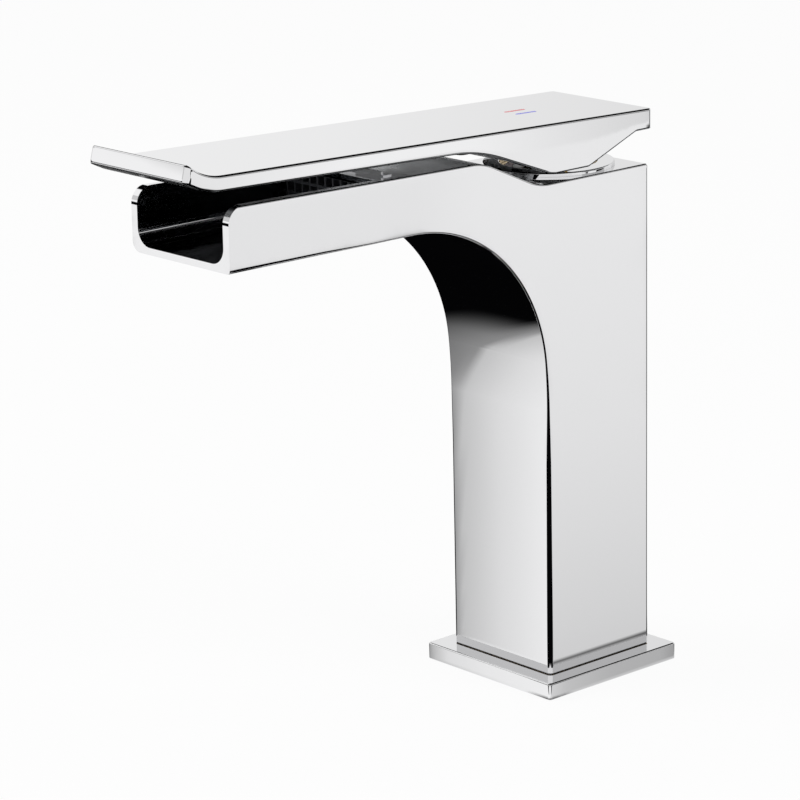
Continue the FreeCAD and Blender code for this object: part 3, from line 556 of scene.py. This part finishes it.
def turned(name, section, material, steps=144):
    """Closed section (radius, z, corner radius) turned about the faucet's axis."""
    outline = rounded_outline(section, 0.06)[0]
    angle = np.linspace(0, 2 * math.pi, steps, endpoint=False)
    rings = [np.stack([r * np.cos(angle), r * np.sin(angle), np.full(steps, z)], 1) for r, z in outline]
    piece = stacked(name, rings, material, closed=True)
    finish_edges(piece)
    return piece


dressed(turned("bonnet_ring_finish", bonnet_section, chrome), "faucet_body", "chrome", "bonnet_ring")

# ---- flow straightener and its clip ------------------------------------------------------------
# A square-celled grille moulded in dark acetal calms the water before it runs out along the channel.
# A strip of spring steel with two bright tabs lies on the deck behind it and holds it in.


def moulded_material(name, colour, shade, rough, grain):
    """Moulded plastic, rubber or fired ceramic: its colour drifts slowly to a shade over some 8 mm, and a
    grain of the given size in millimetres dulls it."""
    made = bpy.data.materials.new(name)
    made.use_nodes = True
    tree = made.node_tree
    shader = tree.nodes["Principled BSDF"]
    place = add_node(tree, "ShaderNodeTexCoord").outputs["Object"]
    drift = add_node(tree, "ShaderNodeTexNoise", {"Vector": place, "Scale": 120.0, "Detail": 2.0})
    tone = add_node(tree, "ShaderNodeMix", {"Factor": drift.outputs["Fac"], 6: linear(colour),
                    7: linear(shade)}, data_type="RGBA")
    texture = add_node(tree, "ShaderNodeTexNoise", {"Vector": place, "Scale": 1000 / grain, "Detail": 2.0})
    haze = add_node(tree, "ShaderNodeMapRange", {"Value": texture.outputs["Fac"], "To Min": rough - 0.06,
                    "To Max": rough + 0.06})
    bump = add_node(tree, "ShaderNodeBump", {"Height": texture.outputs["Fac"], "Strength": 0.25,
                    "Distance": grain / 20000})
    tree.links.new(tone.outputs[2], shader.inputs["Base Color"])
    tree.links.new(haze.outputs["Result"], shader.inputs["Roughness"])
    tree.links.new(bump.outputs["Normal"], shader.inputs["Normal"])
    return made


def paint_nodes(material, *names):
    """Gives CAD pieces, whose shape is already right, their finished material."""
    for name in names:
        nodes[name].material_slots[0].material = material


paint_nodes(moulded_material("moulded dark acetal", "#5A5C60", "#4A4C50", 0.35, 0.4), "flow_grille")
tinned = metal_material("satin tinned spring steel", "#EDEEF0", 0.4, 0.05, (0.6, 8.0, 8.0), 0.2, 0.4)
paint_nodes(tinned, "grille_clip")

# ---- cartridge ---------------------------------------------------------------------------------
# The 35 mm cartridge is moulded in glass-filled nylon round two lapped alumina discs. A square brass
# stem with a ball at its foot tilts on a steel pin in the rotor and slides the upper disc.
nylon = moulded_material("glass-filled nylon", "#D9D8D2", "#CFCEC7", 0.5, 0.5)
acetal = moulded_material("white acetal", "#E4E4E0", "#DCDCD7", 0.35, 0.4)
alumina = moulded_material("lapped alumina", "#E9E6DE", "#E2DFD6", 0.18, 0.2)
paint_nodes(nylon, "cartridge_base", "cartridge_housing")
paint_nodes(acetal, "spindle_guide")
paint_nodes(moulded_material("black acetal", "#1E1F21", "#17181A", 0.4, 0.4), "disc_carrier")
paint_nodes(moulded_material("red acetal", "#A6262B", "#98252A", 0.4, 0.4), "limit_ring")
paint_nodes(alumina, "fixed_disc", "moving_disc")
paint_nodes(metal_material("drawn brass", "#C9A860", 0.22, 0.06, (6.0, 6.0, 0.6), 0.15), "spindle")
ground = metal_material("ground stainless steel", "#B9BABC", 0.2, 0.05, (0.6, 8.0, 8.0), 0.15)
paint_nodes(ground, "spindle_pin")

# ---- nut, washer and screws --------------------------------------------------------------------
# A slotted brass nut holds the cartridge down on a steel washer. A hex grub screw in the lever clamps
# the stem, and a chromium-plated plug closes its hole.
paint_nodes(metal_material("turned brass", "#C2A25C", 0.26, 0.06, (1.0, 1.0, 8.0), 0.2), "retaining_nut")
rolled = metal_material("rolled stainless steel", "#B4B5B7", 0.28, 0.06, (0.8, 8.0, 8.0), 0.15)
paint_nodes(rolled, "nut_washer")
paint_nodes(metal_material("blackened steel", "#3A3B3D", 0.35, 0.06), "grub_screw")

plug_radius, plug_edge, plug_face = 2.3, 0.3, 22.3
plug_rings = [circle(plug_radius, (0, plug_seat, screw_z), "y", 64)]
for t in np.linspace(0, math.pi / 2, 7):
    face_ring = (0, plug_face + plug_edge * math.sin(t), screw_z)
    plug_rings.append(circle(plug_radius - plug_edge * (1 - math.cos(t)), face_ring, "y", 64))
plug = stacked("screw_plug_finish", plug_rings, chrome)
finish_edges(plug)
dressed(plug, "lever", "chrome", "screw_plug")

# ---- seals and gasket --------------------------------------------------------------------------
# Black EPDM rubber, moulded: dull, with a faint bloom. The gasket lies in the plate's groove and the
# small seals sit round the ports, the discs, the cartridge and its neck.
rubber = moulded_material("black EPDM rubber", "#1B1B1C", "#262627", 0.65, 0.3)
paint_nodes(rubber, "base_gasket", "hot_port_seal", "cold_port_seal", "disc_seal", "housing_o_ring",
            "guide_o_ring", "bonnet_seal")

# ---- floor, backdrop and light -----------------------------------------------------------------
# A pale tabletop in a white studio. Black velvet that only the chrome sees stands round it as a tent and lies
# on the table, with openings that face the flat sides: it draws the dark lines along their edges, and the
# openings' grey tones paint the reflections on those faces.
def lit_share(tree, low, high):
    """low for rays that light the piece, high for what the camera, a mirror or glass looks at."""
    path = add_node(tree, "ShaderNodeLightPath")
    seen = add_node(tree, "ShaderNodeMath", {0: path.outputs["Is Camera Ray"],
                    1: path.outputs["Is Glossy Ray"]}, operation="MAXIMUM")
    seen = add_node(tree, "ShaderNodeMath", {0: seen.outputs[0], 1: path.outputs["Is Transmission Ray"]},
                    operation="MAXIMUM")
    share = add_node(tree, "ShaderNodeMapRange", {"Value": seen.outputs[0], "To Min": low, "To Max": high})
    return share.outputs[0]


world = bpy.data.worlds.new("white studio")
bpy.context.scene.world = world
world.use_nodes = True
sky = world.node_tree.nodes["Background"]
world.node_tree.links.new(lit_share(world.node_tree, 0.55, 1.0), sky.inputs["Strength"])
sky.inputs["Color"].default_value = linear("#FFFFFF")

laminate = bpy.data.materials.new("white laminate tabletop")
laminate.use_nodes = True
tree = laminate.node_tree
shader = tree.nodes["Principled BSDF"]
shader.inputs["Base Color"].default_value = linear("#F4F4F4")
shader.inputs["Roughness"].default_value = 0.7
glow = add_node(tree, "ShaderNodeEmission", {"Color": linear("#FFFFFF"), "Strength": 1.0})
blend = add_node(tree, "ShaderNodeMixShader", {0: lit_share(tree, 0.0, 0.93), 1: shader.outputs[0],
                 2: glow.outputs[0]})
tree.links.new(blend.outputs[0], tree.nodes["Material Output"].inputs["Surface"])


def sheet(name, x, y, z, material):
    """Open surface through a grid of points, which stands in the studio and isn't part of the faucet."""
    mesh = bpy.data.meshes.new(name)
    mesh.from_pydata((np.stack(np.broadcast_arrays(x, y, z), 2).reshape(-1, 3) / 1000).tolist(), [],
                     grid_faces(*x.shape))
    mesh.materials.append(material)
    made = bpy.data.objects.new(name, mesh)
    bpy.context.scene.collection.objects.link(made)
    return made


y, x = np.meshgrid(np.linspace(-2500, 2500, 21), np.linspace(-2500, 2500, 21), indexing="ij")
sheet("tabletop", x, y, -0.05, laminate)

velvet_material = bpy.data.materials.new("black velvet")
velvet_material.use_nodes = True
tree = velvet_material.node_tree
shader = tree.nodes["Principled BSDF"]
shader.inputs["Base Color"].default_value = linear("#050506")
shader.inputs["Roughness"].default_value = 1.0
shader.inputs["Specular IOR Level"].default_value = 0.0
clear = add_node(tree, "ShaderNodeBsdfTransparent")
cover = add_node(tree, "ShaderNodeAttribute", attribute_name="cover")
blend = add_node(tree, "ShaderNodeMixShader", {0: cover.outputs["Fac"], 1: clear.outputs[0],
                 2: shader.outputs[0]})
tree.links.new(blend.outputs[0], tree.nodes["Material Output"].inputs["Surface"])


def velvet(name, x, y, z, cover):
    """Sheet of black velvet that only mirror reflections see, as dense at each point as cover; a partial cover
    paints a grey reflection.
    """
    made = sheet(name, x, y, z, velvet_material)
    shade = made.data.attributes.new("cover", "FLOAT", "POINT")
    shade.data.foreach_set("value", np.clip(cover, 0, 1).ravel().astype(np.float32))
    made.visible_camera = False
    made.visible_diffuse = False
    made.visible_shadow = False
    made.visible_transmission = False


def soft_step(value, start, end):
    """0 before start, 1 past end, and a smooth cubic between them."""
    t = np.clip((value - start) / (end - start), 0, 1)
    return t * t * (3 - 2 * t)


def between(value, low, high, blur):
    """1 from low to high, and a soft step of the blur's width down to 0 on either side."""
    return soft_step(value, low - blur, low) * (1 - soft_step(value, high, high + blur))


eye = (725.35, -704.65, 359.59)      # where the camera stands


def mirrored(x, y, axis, level):
    """Where on an upright face a table point shows, seen from the eye: the ray from the eye's mirror image
    through the face at that level along the axis, back from the table. Returns (along the face, height)."""
    table = (x, y)
    image = 2 * level - eye[axis]
    run = table[axis] - image
    share = (level - image) / np.where(np.abs(run) < 1, 1, run)
    return eye[1 - axis] + (table[1 - axis] - eye[1 - axis]) * share, eye[2] * (1 - share)


# The table's grid grows coarser away from the faucet: 1700 mm * u^2.3, for u from -1 to 1.
reach = np.linspace(-1, 1, 451)
reach = 1700 * np.sign(reach) * np.abs(reach) ** 2.3
y, x = np.meshgrid(reach, reach, indexing="ij")
# The right cheek's opening has the faucet's own outline: bend, spout and lever in front, column behind. Its
# tones paint the reflection that the cheek shows.
bend_y, bend_z = -72.7, spout_under - bend_radius
along_cheek, height = mirrored(x, y, 0, body_half_width)
on_bend = np.sqrt(1 - np.clip((height - bend_z) / bend_radius, 0, 0.999) ** 2)
front = np.where(height < spout_under, bend_y + bend_radius * on_bend, -141.0)
front = np.where(height > 165.2, -157.0, front)
rear = np.where(height > 162, 60.0, 22.0)
on_column = np.interp(height, [0, 6, 18, 47, 78, 150], [0.70, 0.72, 0.755, 0.82, 0.875, 0.935])
on_spout = soft_step(along_cheek, -45, -75)
on_lever = np.interp(along_cheek, [-156, -95, -50, 20, 60], [0.88, 1, 1, 0.78, 0.7])
tone = np.where(height > 165, on_lever, on_column + (0.893 - on_column) * on_spout)
cheek = between(along_cheek, front, rear, 8.0) * (x > body_half_width) * tone

# The column's front shows a painted reflection that grows paler to the right and fades to black below the bend.
across, height = mirrored(x, y, 1, -body_half_width)
tone = np.interp(across, [-60, -44, -21, -17, 0, 22, 30], [0, 0.14, 0.3, 0.62, 0.82, 0.98, 0])
shade = 1 - (1 - soft_step(height, 32, 56)) * (1 - soft_step(across, -34, -20))
column_front = tone * shade * (1 - soft_step(height, 88, 115)) * (y < -body_half_width)

# Painted reflections on the mouth, the plate's two sides and the plate's front corner.
across, height = mirrored(x, y, 1, mouth_y)
mouth = between(across, -24, 24, 4) * between(height, 145, 170, 3) * (y < mouth_y) * 0.97
across, height = mirrored(x, y, 1, -plate_half)
plate_front = between(across, -30, 30, 2) * between(height, -2, 5.3, 0.4) * (y < -plate_half)
plate_front = plate_front * np.interp(across, [-27, -24, -18, 0, 27], [0.3, 0.6, 0.85, 0.95, 1])
along_side, height = mirrored(x, y, 0, plate_half)
plate_side = between(along_side, -30, 30, 2) * between(height, -2, 5.3, 0.4) * (x > plate_half)
plate_side = plate_side * np.interp(along_side, [-27, -20, 0, 20, 27], [0.75, 0.62, 0.52, 0.5, 0.38])
beside_corner = between(np.abs(x + y), -1, 8, 4) * (x > plate_half) * (y < -plate_half)
beside_corner = beside_corner * (1 - soft_step(x - y, 2 * plate_half + 14, 2 * plate_half + 20))
openings = np.max([np.where(plate_side > 0.05, 0, cheek), column_front, mouth, plate_front, plate_side,
                   beside_corner], axis=0)
# The table lies bare where only the left cheek, the back and lower views would show it.
distance, bearing = np.hypot(x, y), np.degrees(np.arctan2(y, x)) % 360
from_behind = between(distance, 440, 560, 30) * between(bearing, 212, 243, 6)
from_left = soft_step(distance, 400, 460) * between(bearing, 100, 192, 8)
from_back = soft_step(distance, 45, 60) * between(bearing, 78, 116, 8)
ahead, aside = between((bearing + 180) % 360, 68, 200, 6), between(bearing, 70, 90, 6)
far_off = soft_step(distance, 600, 680) * np.maximum(ahead, aside)
openings = np.maximum(openings, 0.9 * np.max([from_behind, from_left, from_back, far_off], axis=0))
velvet("velvet on the table", x, y, 0.3, 1 - openings)

# The tent is open low down all round, which lights the level faces, and opposite the lip and the rim; the
# openings' tones paint those reflections.
rise, turn = np.meshgrid(np.linspace(-4, 90, 189), np.linspace(-180, 180, 361), indexing="ij")
far_side = between(turn % 360, 95, 188, 14) * (1 - soft_step(rise, 24, 28))
far_side = far_side * np.interp(turn, [120, 140, 156], [0.7, 0.9, 0.95])
lip_face = between(turn, -160, -120, 8) * between(rise, 3.5, 24, 1.5) * np.where(rise < 10, 1, 0.65)
far_rim = between(turn, -172, -140, 6) * between(rise, 26, 60, 3)
beside_lever = (turn > 18) & (turn < 70)
near_side = between(turn, -112, 95, 8) * between(rise, np.where(beside_lever, 7, -6), 25, 2)
near_side = near_side * np.where(beside_lever, 0.55, 0.85)
sky_openings = np.max([far_side, lip_face, far_rim, near_side], axis=0)
rise, turn = np.radians(rise), np.radians(turn)
tent_radius = 1500
velvet("velvet tent", tent_radius * np.cos(rise) * np.cos(turn), tent_radius * np.cos(rise) * np.sin(turn) - 60,
       tent_radius * np.sin(rise) + 100, 1 - sky_openings)

for name, place, power in (("left softbox", (-900, -900, 700), 9.0), ("right softbox", (1100, 300, 900), 7.0)):
    lamp_data = bpy.data.lights.new(name, "AREA")
    lamp_data.size = 0.9
    lamp_data.energy = power
    lamp = bpy.data.objects.new(name, lamp_data)
    bpy.context.scene.collection.objects.link(lamp)
    lamp.location = mathutils.Vector(place) / 1000
    aim = mathutils.Vector((0, -0.05, 0.09)) - lamp.location
    lamp.rotation_euler = aim.to_track_quat("-Z", "Y").to_euler()
    lamp.visible_glossy = False

# ---- camera ------------------------------------------------------------------------------------
# A long lens to the faucet's right front, a little above it, tipped by about a degree. It was fitted to
# the faucet's edges in the photograph.
focal_pixels, picture_width, camera_distance = 3490.99, 800, 1019.97
camera_data = bpy.data.cameras.new("camera")
camera_data.sensor_width = 36
camera_data.lens = focal_pixels * 36 / picture_width
camera_data.clip_end = 20
camera = bpy.data.objects.new("camera", camera_data)
bpy.context.scene.collection.objects.link(camera)
bpy.context.scene.camera = camera
azimuth, elevation, roll = (math.radians(v) for v in (48.377, 15.318, -1.074))
back = np.array([math.sin(azimuth) * math.cos(elevation), -math.cos(azimuth) * math.cos(elevation),
                 math.sin(elevation)])
right = np.array([math.cos(azimuth), math.sin(azimuth), 0.0])
up = np.cross(back, right)
spot = np.array([0, -40, 90]) + back * camera_distance + right * -15.048 + up * 0.153
pose = np.eye(4)
pose[:3, 0] = right * math.cos(roll) + up * math.sin(roll)
pose[:3, 1] = up * math.cos(roll) - right * math.sin(roll)
pose[:3, 2], pose[:3, 3] = back, spot / 1000
camera.matrix_world = mathutils.Matrix(pose.tolist())

bpy.context.scene.view_settings.view_transform = "Standard"
